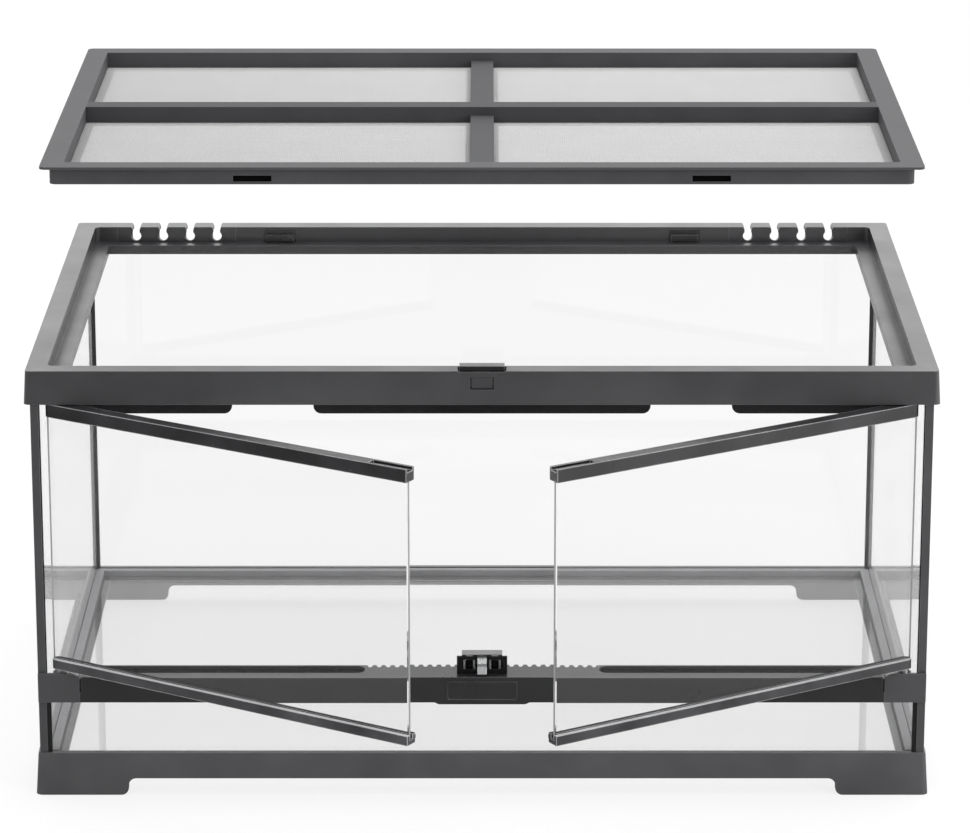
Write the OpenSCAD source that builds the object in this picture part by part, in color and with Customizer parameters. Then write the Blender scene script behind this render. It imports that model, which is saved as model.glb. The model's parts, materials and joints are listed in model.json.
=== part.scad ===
// Front-opening glass terrarium cabinet with a lift-off screen lid.
// The origin is on the floor in the middle of the footprint: +X right, +Y back, +Z up.
// The doors stand ajar and the lid is held up clear of its seat.

/* [Overall] */
// Width over the top edge of the rim
rim_w = 906; // [760:2:1200]
// Depth over the top edge of the rim
rim_d = 610; // [460:2:760]
// Height of the rim's top above the floor
cabinet_h = 448; // [400:2:650]
// How far each door stands open
door_ajar = 31.5; // [5:0.5:80]
// How high the lid is held above its seat
lid_lift = 200; // [60:5:300]

/* [Rim] */
// Height of the rim's outer skirt
rim_h = 34; // [30:1:50]
// Width of the rim's flat top
rim_rail_w = 20.5; // [18:0.5:30]
// Wall of the moulded frames
wall_t = 3; // [2:0.5:3.5]
// How far each frame widens towards its lower edge
draft = 2; // [0.5:0.5:3]
// Rounding of the frames' upright corners
corner_r = 4; // [2:0.5:8]
// Width of the ledge under the lid
ledge_w = 16; // [10:1:24]
// Depth of that ledge below the rim's top
ledge_drop = 17; // [15:0.5:20]
// Rounding of the upright corners in the rim's well
well_r = 6; // [4:0.5:7]
// Depth of the ledge's inner lip
lip_h = 10; // [6:0.5:12]

/* [Base] */
// Height of the base frame
base_h = 44.5; // [40:0.5:60]
// How far the base's top edge lies inside the rim's
base_inset = 2; // [0.5:0.5:2.5]
// Width of the base's flat top
base_rail_w = 20; // [18:0.5:30]
// Clear height under the base between its feet
foot_h = 17.5; // [10:0.5:22]
// Length of each foot along the sides
foot_l = 91.5; // [60:0.5:140]
// Rounding of the step from a foot up to the arch
foot_round = 7.5; // [3:0.5:8]
// Depth of the floor pane's top below the base's top
floor_drop = 5.8; // [3:0.2:8]
// Width of the ledge that carries the floor pane
floor_ledge_w = 8; // [5:0.5:14]

/* [Glass] */
// Thickness of the fixed panes
glass_t = 5; // [4:0.5:6]
// Distance from the rim's edge to the panes' outer faces
glass_inset = 8; // [7.5:0.5:10]
// Width of the rear corner seals
seal_w = 4; // [2:0.5:6]

/* [Front posts] */
// Width of a corner post seen from the front
post_w = 8; // [6:0.5:10]
// Distance from the rim's edge to a post's outer face
post_inset = 4; // [3.5:0.5:5]
// Length of a post along the side pane
post_side_l = 18; // [12:1:30]
// Width of the seal beside the front window
window_seal_w = 4.5; // [2:0.5:8]

/* [Mid rail] */
// Height of the mid rail's lower edge above the floor
mid_z = 99.6; // [85:0.2:130]
// Height of its front face
mid_h = 27; // [25:0.5:40]
// Depth of its top plate
mid_d = 44; // [42:1:60]
// How far the top plate lies below the front edge
mid_step = 2; // [1:0.5:3]
// Width of the deeper middle part
mid_bulge_w = 96; // [80:2:140]
// How far that part hangs lower
mid_bulge_h = 2; // [0.5:0.1:4]
// Distance from a vent slot's far end to the mid rail's end
vent_margin = 18; // [15:1:60]
// Depth of each vent slot
vent_d = 21; // [12:1:21]
// Distance from the middle to the near end of a vent slot
vent_x = 118; // [100:1:130]
// Spacing of the vent comb's teeth
comb_pitch = 9.2; // [8:0.1:14]
// Number of gaps in each half of the comb
comb_count = 10; // [5:1:10]
// Width of one comb gap at the rear edge
comb_gap = 6; // [4:0.5:7]
// Width of one comb gap at its root
comb_root = 3; // [1:0.5:3.5]
// Depth of the comb
comb_l = 6; // [4:1:8]
// Width of each slit in a vent screen
vent_slit_w = 2; // [1:0.5:3]
// Length of each slit with the rib beside it
vent_bay_l = 29; // [15:1:60]
// Width of the ribs between slits
vent_rib_w = 3; // [2:0.5:6]
// Thickness of a vent screen
vent_plate_t = 1.5; // [1:0.1:2]
// Width of the badge plate
badge_w = 72; // [40:1:90]
// Height of the badge plate
badge_h = 20.5; // [12:0.5:22]

/* [Hinges] */
// Width of a hinge block
block_w = 42; // [38:1:60]
// How far a hinge block stands above the mid rail
block_rise = 3.7; // [2:0.1:6]
// Thickness of a hinge block's front plate
block_t = 3.5; // [2.5:0.5:3.5]
// Distance from the rim's edge to a door's pivot, sideways
pivot_inset_x = 26; // [24:0.5:32]
// Distance from the rim's edge to a door's pivot, front to back
pivot_inset_y = 8; // [7.5:0.5:8.5]
// Diameter of the hinge pins
pin_d = 5; // [3:0.5:6]
// Radial running clearance of the hinge pins
pin_fit = 0.05; // [0.02:0.01:0.1]
// Height of the lower pin's collar
collar_h = 4; // [2:0.5:6]

/* [Doors] */
// Gap between the closed doors
door_gap = 12; // [11:0.5:16]
// Thickness of the door rails
door_t = 14; // [12:0.5:14]
// Height of a door's top rail
top_rail_h = 13.5; // [11:0.5:16]
// Height of a door's bottom rail
bottom_rail_h = 10; // [9:0.5:14]
// Solid web between a rail's pane slot and its outer face
rail_web = 4.7; // [4:0.1:6]
// Gap between a door and the rim above it
door_top_gap = 0.7; // [0.5:0.1:2]
// Thickness of the door panes
door_glass_t = 5; // [4:0.5:6]
// Easing of a door pane's free edge
door_glass_ease = 1; // [0.5:0.1:1.5]
// Length of the opening in the top rail's free end
notch_l = 44; // [20:1:60]
// Thickness of the cap that closes the pane slot at that end
rail_cap_t = 1.5; // [1:0.5:3]

/* [Door stops] */
// Depth of the stop strips below the rim
stop_h = 14.5; // [10:0.5:18]
// Thickness of the stop strips
stop_t = 3; // [2:0.5:3.5]
// Length of the middle strip
stop_mid_l = 336; // [200:2:400]
// Length of each outer strip
stop_end_l = 176; // [100:2:180]
// Distance from the rim's edge to an outer strip
stop_inset = 28; // [24:1:60]

/* [Door catch] */
// Width of the catch body
catch_w = 51; // [48:1:54]
// Depth of the catch body
catch_d = 13; // [12:0.5:22]
// Height of the catch body
catch_h = 18.1; // [18:0.1:24]
// Thickness of its face plate
catch_face_t = 3; // [2:0.5:4]
// Gap between the closed doors and the catch body
catch_gap = 2; // [1:0.5:3]
// Width of each pocket in the catch body
pocket_w = 14.5; // [13:0.5:15]
// Distance from the middle to a pocket's middle
pocket_x = 13; // [12.5:0.5:14]
// Thickness of the spring clips
clip_t = 1; // [0.6:0.1:1.2]
// Width of the tongue
tongue_w = 9.4; // [7:0.1:9.6]
// Thickness of the tongue's steel
tongue_t = 1.2; // [0.8:0.1:1.6]
// How far the tongue's tip hangs below its top
tab_h = 13.5; // [11:0.1:13.6]
// Width of the cover plate
cover_w = 41; // [30:1:46]
// Depth of the cover plate
cover_d = 12.5; // [7:0.5:14]
// Clear height under the cover plate
cover_gap = 1.8; // [1:0.1:3]

/* [Lid latch] */
// Width of the latch head
latch_w = 45; // [36:1:60]
// How far the latch head stands above the rim
latch_rise = 4.1; // [2:0.1:5]
// Width of the press button
button_w = 21; // [16:1:26]
// Height of the press button
button_h = 11; // [9:0.2:12]
// Groove round the press button
button_gap = 1.2; // [0.8:0.1:1.6]

/* [Cable ports] */
// Number of inlets in each port
inlet_count = 4; // [2:1:4]
// Spacing of the inlets
inlet_pitch = 30; // [26:1:32]
// Distance from the rim's edge to the outermost inlet
inlet_end = 66; // [62:1:90]
// Diameter of the round part of an inlet
inlet_d = 11; // [8:0.5:11]
// Depth of its centre below the rim's top
inlet_drop = 10; // [9.5:0.5:10.5]
// Width of the slit above it
inlet_slit_w = 7.5; // [4:0.5:7.5]
// How much lower it reaches in the rim's outer wall
inlet_sag = 5; // [2:0.5:6]

/* [Lid] */
// How far the lid's flange rests on the rim
flange_lap = 2.5; // [2:0.5:3]
// Thickness of the flange
flange_t = 2.5; // [2:0.5:3]
// Width of the flange's flat top
flange_w = 22.5; // [20:0.5:30]
// Play between the rim and the lid's skirt
skirt_play = 6.5; // [6:0.5:8]
// Wall of the lid's mouldings
lid_wall_t = 2.5; // [2:0.5:3]
// Height of the skirt below the flange
skirt_h = 16.7; // [14:0.1:16.7]
// Width of the ledge that carries the screens
screen_ledge_w = 8.5; // [5:0.5:12]
// Thickness of a screen
screen_t = 0.8; // [0.5:0.1:1.2]
// Openings along each screen
screen_columns = 12; // [4:1:12]
// Openings across each screen
screen_rows = 8; // [3:1:12]
// Width of the strips between the openings
screen_strip_w = 8; // [2:0.5:10]
// Width of the foot that each bar holds out under the screens
bar_foot_w = 5; // [3:0.5:8]
// Width of the lid's bars
bar_w = 24; // [16:1:30]
// How far the centre bars lie below the cross bar's top
bar_drop = 8.9; // [5:0.1:11]
// Width of each slot in the lid's skirt
slot_w = 38; // [34:1:44]
// Height of each slot
slot_h = 6; // [4:0.5:6.5]
// Distance from the middle to a slot and to a lid hook
hook_x = 226; // [180:1:240]
// Width of a lid hook
hook_w = 30; // [20:1:32]

/* [Hidden] */

// Fits shared by several pieces
pane_fit = 0.3;      // room round a pane in its groove
seat_gap = 0.3;      // gap between parts that part from each other
cut = 1;             // how far a cut runs past the face it opens

// Levels
rim_z = cabinet_h - rim_h;
ledge_z = cabinet_h - ledge_drop;
floor_top_z = base_h - floor_drop;
floor_z = floor_top_z - glass_t;
mid_top_z = mid_z + mid_h;
mid_plate_z = mid_top_z - mid_step;
block_top_z = mid_top_z + block_rise;
door_z = block_top_z + collar_h + seat_gap;
door_top_z = rim_z - door_top_gap;
pane_top_z = cabinet_h - wall_t - pane_fit;
back_pane_top_z = min(ledge_z, cabinet_h - inlet_drop - inlet_sag - inlet_d / 2) - pane_fit;

// Places
front_y = -rim_d / 2;
base_w = rim_w - 2 * base_inset;
base_d = rim_d - 2 * base_inset;
pane_x = rim_w / 2 - glass_inset;
pane_y = rim_d / 2 - glass_inset;
pane_in_x = pane_x - glass_t;
pane_in_y = pane_y - glass_t;
floor_x = base_w / 2 - base_rail_w;
floor_y = base_d / 2 - base_rail_w;
groove_u0 = glass_inset - base_inset - pane_fit;
groove_u1 = glass_inset - base_inset + glass_t + pane_fit;
well_x = rim_w / 2 - rim_rail_w;
well_y = rim_d / 2 - rim_rail_w;
post_x = rim_w / 2 - post_inset;
post_y = front_y + block_t;
pivot_x = rim_w / 2 - pivot_inset_x;
pivot_y = front_y + pivot_inset_y;
door_back_y = pivot_y + door_t / 2;
door_l = pivot_x + (door_t - door_gap) / 2;

// Colours
black_plastic = "#3c3c3e";
dark_plastic = "#1e1e20";
grey_plastic = "#8f8f90";
steel = "#c4c6c8";
clear_glass = [0.86, 0.92, 0.90, 0.35];
seal_black = "#222222";

// ---------- shared shapes ----------

// A plate with rounded upright corners, centred on the origin
module rounded_plate(w, d, h, r) {
    linear_extrude(h)
        hull()
            for (x = [-1, 1], y = [-1, 1])
                translate([x * (w / 2 - r), y * (d / 2 - r)])
                    circle(r, $fn = 32);
}

// A block whose sides spread by `spread` from its top down to its foot
module drafted_block(w, d, z0, z1, spread) {
    skin = 0.01;
    hull() {
        translate([0, 0, z0])
            rounded_plate(w + 2 * spread, d + 2 * spread, skin, corner_r + spread);
        translate([0, 0, z1 - skin])
            rounded_plate(w, d, skin, corner_r);
    }
}

// A box given by its width and depth, centred, from z0 to z1
module centred_box(w, d, z0, z1) {
    translate([-w / 2, -d / 2, z0])
        cube([w, d, z1 - z0]);
}

// A rectangular ring that lies between two insets from a w by d outline
module ring(w, d, u0, u1, z0, z1) {
    difference() {
        centred_box(w - 2 * u0, d - 2 * u0, z0, z1);
        centred_box(w - 2 * u1, d - 2 * u1, z0 - cut, z1 + cut);
    }
}

// A box from one corner to the opposite corner
module span(a, b) {
    translate(a)
        cube(b - a);
}

// Left pieces are drawn as the mirror image of right ones
module on_side(side) {
    if (side > 0)
        children();
    else
        mirror([1, 0, 0])
            children();
}

// ---------- base ----------

// Outline that is cut out under one wall to leave its two feet
module arch_outline(length) {
    foot_in = length / 2 - foot_l;
    below = 2 * foot_round;
    offset(-foot_round) offset(foot_round)
        offset(foot_round) offset(-foot_round) {
            translate([-foot_in, -below])
                square([2 * foot_in, foot_h + below]);
            translate([-foot_in - below, -2 * below])
                square([2 * (foot_in + below), 2 * below]);
        }
}

module arch_cut(length, across) {
    rotate([90, 0, 0])
        linear_extrude(across, center = true)
            arch_outline(length);
}

module base_frame() {
    reach = 2 * (draft + cut);
    color(black_plastic)
        difference() {
            drafted_block(base_w, base_d, 0, base_h, draft + 1);
            // Hollow under the floor ledge
            centred_box(base_w - 2 * wall_t, base_d - 2 * wall_t, -cut, floor_z - wall_t);
            // Well of the floor pane, which reaches the front window
            span([-floor_x, -pane_in_y - pane_fit, floor_z], [floor_x, floor_y, base_h + cut]);
            // Window inside the floor ledge
            centred_box(base_w - 2 * (base_rail_w + floor_ledge_w),
                        base_d - 2 * (base_rail_w + floor_ledge_w), -cut, base_h + cut);
            // Groove of the upright panes
            ring(base_w, base_d, groove_u0, groove_u1, floor_z, base_h + cut);
            arch_cut(base_w, base_d + 4 * reach);
            rotate([0, 0, 90])
                arch_cut(base_d, base_w + 4 * reach);
        }
}

// ---------- glass ----------

module floor_glass() {
    color(clear_glass)
        span([-floor_x + pane_fit, -pane_in_y + pane_fit, floor_z],
             [floor_x - pane_fit, floor_y - pane_fit, floor_top_z]);
}

module back_glass() {
    color(clear_glass)
        span([-pane_x, pane_in_y, floor_z], [pane_x, pane_y, back_pane_top_z]);
}

module side_glass(side) {
    color(clear_glass)
        on_side(side)
            span([pane_in_x, post_y + post_w * 0.6 + pane_fit, floor_z],
                 [pane_x, pane_in_y, pane_top_z]);
}

module window_glass() {
    top_z = mid_z + mid_h / 4;
    color(clear_glass)
        span([-pane_in_x + pane_fit, -pane_y, floor_z], [pane_in_x - pane_fit, -pane_in_y, top_z]);
}

// Bead in the corner between the back pane and a side pane
module rear_seal(side) {
    color(seal_black)
        on_side(side)
            translate([0, 0, base_h])
                linear_extrude(ledge_z - wall_t - base_h)
                    polygon([
                        [pane_in_x, pane_in_y],
                        [pane_in_x - seal_w, pane_in_y],
                        [pane_in_x, pane_in_y - seal_w],
                    ]);
}

// ---------- posts ----------

module post(side) {
    face_t = post_w * 0.6;
    color(black_plastic)
        on_side(side) {
            // Face in front of the pane's edge
            span([post_x - post_w, post_y, base_h], [post_x, post_y + face_t, pane_top_z]);
            // Leg along the outside of the pane
            span([pane_x + pane_fit, post_y, base_h], [post_x, post_y + post_side_l, pane_top_z]);
        }
}

// Beads between the front window and the posts
module window_seals() {
    bead_t = 3;
    x1 = post_x - post_w;
    color(seal_black)
        for (side = [-1, 1])
            on_side(side)
                span([x1 - window_seal_w, -pane_y - bead_t, base_h], [x1, -pane_y, mid_z - pane_fit]);
}

// ---------- rim ----------

// The inlets of one port lie at these distances from the middle
inlet_xs = [for (i = [0 : inlet_count - 1]) rim_w / 2 - inlet_end - i * inlet_pitch];
port_x0 = rim_w / 2 - inlet_end - (inlet_count - 0.3) * inlet_pitch;
port_x1 = rim_w / 2 - inlet_end + inlet_pitch * 0.7;

// Latch pivot
latch_axis_y = front_y + wall_t + 2;
latch_axis_z = cabinet_h - 5.5;
button_top_z = latch_axis_z - 1;
trunnion_r = 1.2;
lug_x = button_w / 2 + button_gap + 0.8;
lug_t = 3;

module rim_shell() {
    difference() {
        drafted_block(rim_w, rim_d, rim_z, cabinet_h, draft);
        // Well of the lid, down to its ledge
        translate([0, 0, ledge_z])
            rounded_plate(2 * well_x, 2 * well_y, ledge_drop + cut, well_r);
        // Opening inside the ledge
        centred_box(2 * (well_x - ledge_w), 2 * (well_y - ledge_w), rim_z - cut, cabinet_h + cut);
        // Hollow under the flat top
        ring(rim_w, rim_d, wall_t, rim_rail_w - wall_t, rim_z - cut, cabinet_h - wall_t);
        // Hollow under the ledge
        ring(rim_w, rim_d, wall_t, rim_rail_w + ledge_w - wall_t, rim_z - cut, ledge_z - wall_t);
        // The ledge's lip ends above the skirt's lower edge
        ring(rim_w, rim_d, wall_t, rim_rail_w + ledge_w + cut, rim_z - cut, ledge_z - lip_h);
    }
}

// Boss that holds a door's upper pin
module upper_boss(side) {
    boss_r = pin_d / 2 + 3.5;
    on_side(side)
        translate([pivot_x, pivot_y, rim_z])
            cylinder(h = cabinet_h - wall_t / 2 - rim_z, r = boss_r, $fn = 48);
}

module upper_bore(side) {
    on_side(side)
        translate([pivot_x, pivot_y, rim_z - cut])
            cylinder(h = rim_h * 0.55 + cut, d = pin_d + 2 * pin_fit, $fn = 48);
}

// Lugs inside the front wall that carry the latch
module latch_lugs() {
    for (side = [-1, 1])
        on_side(side)
            span([lug_x, front_y + wall_t / 2, latch_axis_z - 3],
                 [lug_x + lug_t, latch_axis_y + 3, latch_axis_z + 2.4]);
}

// Room for the latch head in the rim's top, with sloping ends
module latch_recess() {
    half = latch_w / 2 + 0.8;
    depth = 6;
    translate([0, front_y + rim_rail_w - wall_t, cabinet_h])
        rotate([90, 0, 0])
            linear_extrude(rim_rail_w - 2 * wall_t)
                polygon([[-half, -depth], [half, -depth], [half + 1, cut], [-half - 1, cut]]);
    // The front wall is a little lower there
    translate([-half, front_y - cut, cabinet_h - 1])
        cube([2 * half, wall_t + 2 * cut, 2]);
}

module button_opening() {
    span([-button_w / 2 - button_gap, front_y - draft - cut, button_top_z - button_h - button_gap],
         [button_w / 2 + button_gap, front_y + wall_t + cut, button_top_z + seat_gap]);
}

module port_zone(side) {
    on_side(side)
        span([port_x0, well_y - cut, ledge_z], [port_x1, rim_d / 2 + draft + cut, cabinet_h + cut]);
}

module top_frame() {
    color(black_plastic)
        difference() {
            union() {
                rim_shell();
                upper_boss(-1);
                upper_boss(1);
            }
            upper_bore(-1);
            upper_bore(1);
            latch_recess();
            button_opening();
            port_zone(-1);
            port_zone(1);
            for (side = [-1, 1], x = inlet_xs)
                inlet_sag_cut(side * x);
            // Small drains in the ledge under the inlets
            for (side = [-1, 1], x = inlet_xs)
                on_side(side)
                    span([x - 5, well_y - 5, ledge_z - wall_t - cut], [x + 5, well_y - 2, ledge_z + cut]);
        }
    color(black_plastic)
        difference() {
            latch_lugs();
            translate([0, latch_axis_y, latch_axis_z])
                rotate([0, 90, 0])
                    cylinder(h = latch_w, r = trunnion_r + pin_fit, center = true, $fn = 32);
        }
}

// The outer wall is open lower down, so that a lead can slope out
module inlet_sag_cut(x) {
    y0 = rim_d / 2 - wall_t - cut;
    run = wall_t + draft + 2 * cut;
    z = cabinet_h - inlet_drop;
    translate([x, y0 + run, z - inlet_sag])
        rotate([90, 0, 0])
            cylinder(h = run, d = inlet_d, $fn = 48);
    span([x - inlet_d / 2, y0, z - inlet_sag], [x + inlet_d / 2, y0 + run, z]);
}

// Keyhole through the rear rail: a round inlet with a slit that opens upward
module keyhole(x) {
    entry = 2;
    z = cabinet_h - inlet_drop;
    run = rim_rail_w + draft + 2 * cut;
    y1 = rim_d / 2 + draft + cut;
    translate([x, y1, z])
        rotate([90, 0, 0])
            cylinder(h = run, d = inlet_d, $fn = 48);
    span([x - inlet_slit_w / 2, y1 - run, z], [x + inlet_slit_w / 2, y1, cabinet_h + cut]);
    // Flared entry
    translate([x, y1, cabinet_h])
        rotate([90, 0, 0])
            linear_extrude(run)
                polygon([
                    [-inlet_slit_w / 2, -wall_t],
                    [inlet_slit_w / 2, -wall_t],
                    [inlet_slit_w / 2 + entry, cut],
                    [-inlet_slit_w / 2 - entry, cut],
                ]);
}

module cable_port(side) {
    color(black_plastic)
        difference() {
            intersection() {
                rim_shell();
                port_zone(side);
            }
            for (x = inlet_xs) {
                keyhole(side * x);
                inlet_sag_cut(side * x);
            }
        }
}

// Hook on the rear wall of the well, just behind the lid's skirt
module lid_hook(side) {
    reach = skirt_play - 0.5;
    plate_t = 1.2;
    color(dark_plastic)
        on_side(side)
            translate([hook_x, well_y, ledge_z]) {
                span([-hook_w / 2 - 3, -plate_t, 0], [hook_w / 2 + 3, 0, ledge_drop - 2]);
                span([-hook_w / 2, -reach + 2, 0], [hook_w / 2, 0, 7]);
                span([-hook_w / 2, -reach, 6], [hook_w / 2, 0, 9]);
            }
}

// Strips that the closed doors rest against, with rounded lower corners
module stop_strip(x0, x1) {
    r = 8;
    drop = stop_h;
    up = ledge_z - wall_t - rim_z;
    translate([0, door_back_y + catch_gap + stop_t, rim_z])
        rotate([90, 0, 0])
            linear_extrude(stop_t) {
                translate([x0, -drop + r])
                    square([x1 - x0, up + drop - r]);
                translate([x0 + r, -drop])
                    square([x1 - x0 - 2 * r, r]);
                for (x = [x0 + r, x1 - r])
                    translate([x, -drop + r])
                        circle(r, $fn = 48);
            }
}

module door_stops() {
    far_x = rim_w / 2 - stop_inset;
    color(dark_plastic) {
        stop_strip(-stop_mid_l / 2, stop_mid_l / 2);
        stop_strip(far_x - stop_end_l, far_x);
        stop_strip(-far_x, -far_x + stop_end_l);
    }
}

// ---------- mid rail and hinge blocks ----------

block_x = post_x - block_w;
slit_w = 1.7;
slit_z = mid_z + mid_h * 0.42;
vent_lap = 1;
rear_lip_t = 1.5;
vent_l = block_x - slit_w - vent_margin - vent_x;
vent_y = front_y + mid_d - rear_lip_t - vent_lap - vent_d;

// Front face of the mid rail, with its deeper middle part
module mid_front_outline() {
    half = block_x - slit_w;
    bulge = mid_bulge_w / 2;
    slope = 4;
    polygon([
        [-block_x, mid_z], [-bulge, mid_z], [-bulge + slope, mid_z - mid_bulge_h],
        [bulge - slope, mid_z - mid_bulge_h], [bulge, mid_z], [block_x, mid_z],
        [block_x, slit_z], [half, slit_z], [half, mid_top_z],
        [-half, mid_top_z], [-half, slit_z], [-block_x, slit_z],
    ]);
}

// A vent slot with round ends, seen from above
module vent_slot(side) {
    r = vent_d * 0.42;
    on_side(side)
        translate([vent_x, vent_y]) {
            translate([r, 0])
                square([vent_l - 2 * r, vent_d]);
            translate([0, r])
                square([vent_l, vent_d - 2 * r]);
            for (x = [r, vent_l - r], y = [r, vent_d - r])
                translate([x, y])
                    circle(r, $fn = 48);
        }
}

module mid_rail() {
    half = block_x - slit_w;
    rear_y = front_y + mid_d;
    comb_x0 = (catch_w + comb_pitch) / 2;
    tab_lap = 6;
    tab_t = 2;
    rib_t = 2.5;
    color(black_plastic)
        difference() {
            union() {
                translate([0, front_y + wall_t, 0])
                    rotate([90, 0, 0])
                        linear_extrude(wall_t)
                            mid_front_outline();
                // Top plate
                span([-half, front_y + wall_t / 2, mid_plate_z - wall_t], [half, rear_y, mid_plate_z]);
                // Rib behind the window pane
                span([-half, -pane_in_y + pane_fit, mid_z + 1],
                     [half, -pane_in_y + pane_fit + rib_t, mid_plate_z - 1]);
                // Tabs that back the slits beside the hinge blocks
                for (side = [-1, 1])
                    on_side(side)
                        span([half - tab_lap, front_y + block_t + seat_gap, slit_z - tab_lap],
                             [block_x + tab_lap, front_y + block_t + seat_gap + tab_t, mid_plate_z - cut]);
                // Rear lip beside the comb
                for (side = [-1, 1])
                    on_side(side)
                        span([vent_x - 2, rear_y - rear_lip_t, mid_plate_z - mid_h / 2],
                             [half, rear_y, mid_plate_z]);
            }
            translate([0, 0, mid_plate_z - wall_t - cut])
                linear_extrude(wall_t + 2 * cut) {
                    vent_slot(-1);
                    vent_slot(1);
                }
            for (side = [-1, 1], i = [0 : comb_count - 1])
                on_side(side)
                    translate([comb_x0 + i * comb_pitch, rear_y, mid_plate_z - wall_t - cut])
                        linear_extrude(wall_t + 2 * cut)
                            polygon([
                                [-comb_root / 2, -comb_l],
                                [comb_root / 2, -comb_l],
                                [comb_gap / 2, cut],
                                [-comb_gap / 2, cut],
                            ]);
        }
}

// Slotted dark screen under a vent slot, its slits along the rail
module vent_screen(side) {
    rows = 3;
    bays = floor(vent_l / vent_bay_l);
    bay_l = vent_l / bays;
    top_z = mid_plate_z - wall_t;
    color(dark_plastic)
        on_side(side)
            difference() {
                span([vent_x - vent_lap, vent_y - vent_lap, top_z - vent_plate_t],
                     [vent_x + vent_l + vent_lap, vent_y + vent_d + vent_lap, top_z]);
                for (i = [0 : bays - 1], j = [0 : rows - 1])
                    translate([vent_x + (i + 0.5) * bay_l, vent_y + (j + 0.5) * vent_d / rows, top_z])
                        cube([bay_l - vent_rib_w, vent_slit_w, 2 * vent_plate_t + cut], center = true);
            }
}

module hinge_block(side) {
    boss_r = door_t / 2;
    rear_y = pivot_y + boss_r;
    color(black_plastic)
        on_side(side)
            difference() {
                union() {
                    // Front plate, its inner top corner eased down to the mid rail
                    translate([0, front_y + block_t, 0])
                        rotate([90, 0, 0])
                            linear_extrude(block_t)
                                polygon([
                                    [block_x, mid_z], [post_x, mid_z], [post_x, block_top_z],
                                    [block_x + 16, block_top_z], [block_x + 6, block_top_z - 0.8],
                                    [block_x, mid_top_z],
                                ]);
                    // Boss of the lower pin and the bracket that carries it
                    translate([pivot_x, pivot_y, mid_z + 8])
                        cylinder(h = block_top_z - mid_z - 8, r = boss_r, $fn = 48);
                    span([pivot_x - boss_r, front_y + block_t / 2, mid_z + 8],
                         [pivot_x + boss_r, rear_y - boss_r, block_top_z - wall_t]);
                    // Arm along the side pane
                    span([pivot_x, pivot_y, mid_z + 8],
                         [pane_in_x - pane_fit, rear_y + 10, mid_z + 16]);
                }
                // Room for the window pane
                span([0, -pane_y - pane_fit, mid_z - cut],
                     [pane_in_x + cut, -pane_in_y + pane_fit, mid_z + mid_h / 4 + pane_fit]);
                translate([pivot_x, pivot_y, mid_z + 10])
                    cylinder(h = block_top_z, d = pin_d + 2 * pin_fit, $fn = 48);
            }
}

// Bare plate with a raised border
module badge_plate() {
    border = 1.4;
    plate_t = 0.5;
    rise = 0.9;
    color(black_plastic)
        translate([0, front_y, mid_z + (mid_h - mid_bulge_h) / 2])
            rotate([90, 0, 0])
                difference() {
                    rounded_plate(badge_w, badge_h, rise, 3);
                    translate([0, 0, plate_t])
                        rounded_plate(badge_w - 2 * border, badge_h - 2 * border, rise, 2);
                }
}

module lower_hinge_pins() {
    collar_r = pin_d / 2 + 2.4;
    foot_z = mid_z + 10;
    tip_z = door_z + rail_web - 0.6;
    color(steel)
        for (side = [-1, 1])
            on_side(side)
                translate([pivot_x, pivot_y, 0]) {
                    translate([0, 0, foot_z])
                        cylinder(h = tip_z - foot_z, d = pin_d, $fn = 48);
                    translate([0, 0, block_top_z])
                        cylinder(h = collar_h, r = collar_r, $fn = 48);
                }
}

module upper_hinge_pins() {
    foot_z = door_top_z - rail_web + 0.6;
    tip_z = rim_z + rim_h * 0.55 - 0.2;
    color(steel)
        for (side = [-1, 1])
            on_side(side)
                translate([pivot_x, pivot_y, foot_z])
                    cylinder(h = tip_z - foot_z, d = pin_d, $fn = 48);
}

// ---------- doors ----------

// Doors are drawn along +X from their pivot and then swung open
module door_place(side) {
    on_side(-side)
        translate([-pivot_x, pivot_y, 0])
            rotate([0, 0, -door_ajar])
                children();
}

end_r = door_t / 2;
rail_end = door_l - end_r;

// Rail with a round hinge end, seen from above
module rail_outline() {
    circle(end_r, $fn = 64);
    translate([0, -end_r])
        square([rail_end, door_t]);
}

module pane_slot(end, z0, z1) {
    half = door_glass_t / 2 + pane_fit / 2;
    span([-door_t, -half, z0], [end, half, z1]);
}

module door_top_rail(side) {
    z0 = door_top_z - top_rail_h;
    color(black_plastic)
        door_place(side)
            difference() {
                translate([0, 0, z0])
                    linear_extrude(top_rail_h)
                        rail_outline();
                pane_slot(rail_end - rail_cap_t, z0 - cut, door_top_z - rail_web);
                translate([0, 0, door_top_z - rail_web])
                    cylinder(h = rail_web + cut, d = pin_d + 2 * pin_fit, $fn = 48);
                // Opening in the free end's top
                span([rail_end - notch_l, -door_t / 2 + 2.2, door_top_z - 3.6],
                     [rail_end + cut, door_t / 2 - 2.2, door_top_z + cut]);
            }
}

module door_bottom_rail(side) {
    color(black_plastic)
        door_place(side)
            difference() {
                translate([0, 0, door_z])
                    linear_extrude(bottom_rail_h)
                        rail_outline();
                pane_slot(door_l, door_z + rail_web, door_z + bottom_rail_h + cut);
                translate([0, 0, door_z - cut])
                    cylinder(h = rail_web - 0.4 + cut, d = pin_d + 2 * pin_fit, $fn = 48);
            }
}

module door_glass(side) {
    half = door_glass_t / 2;
    end = rail_end - rail_cap_t - pane_fit;
    foot_z = door_z + rail_web;
    color(clear_glass)
        door_place(side)
            translate([0, 0, foot_z])
                linear_extrude(door_top_z - rail_web - foot_z)
                    polygon([
                        [-end_r + 1.5, -half],
                        [end - door_glass_ease, -half],
                        [end, -half + door_glass_ease],
                        [end, half - door_glass_ease],
                        [end - door_glass_ease, half],
                        [-end_r + 1.5, half],
                    ]);
}

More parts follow.
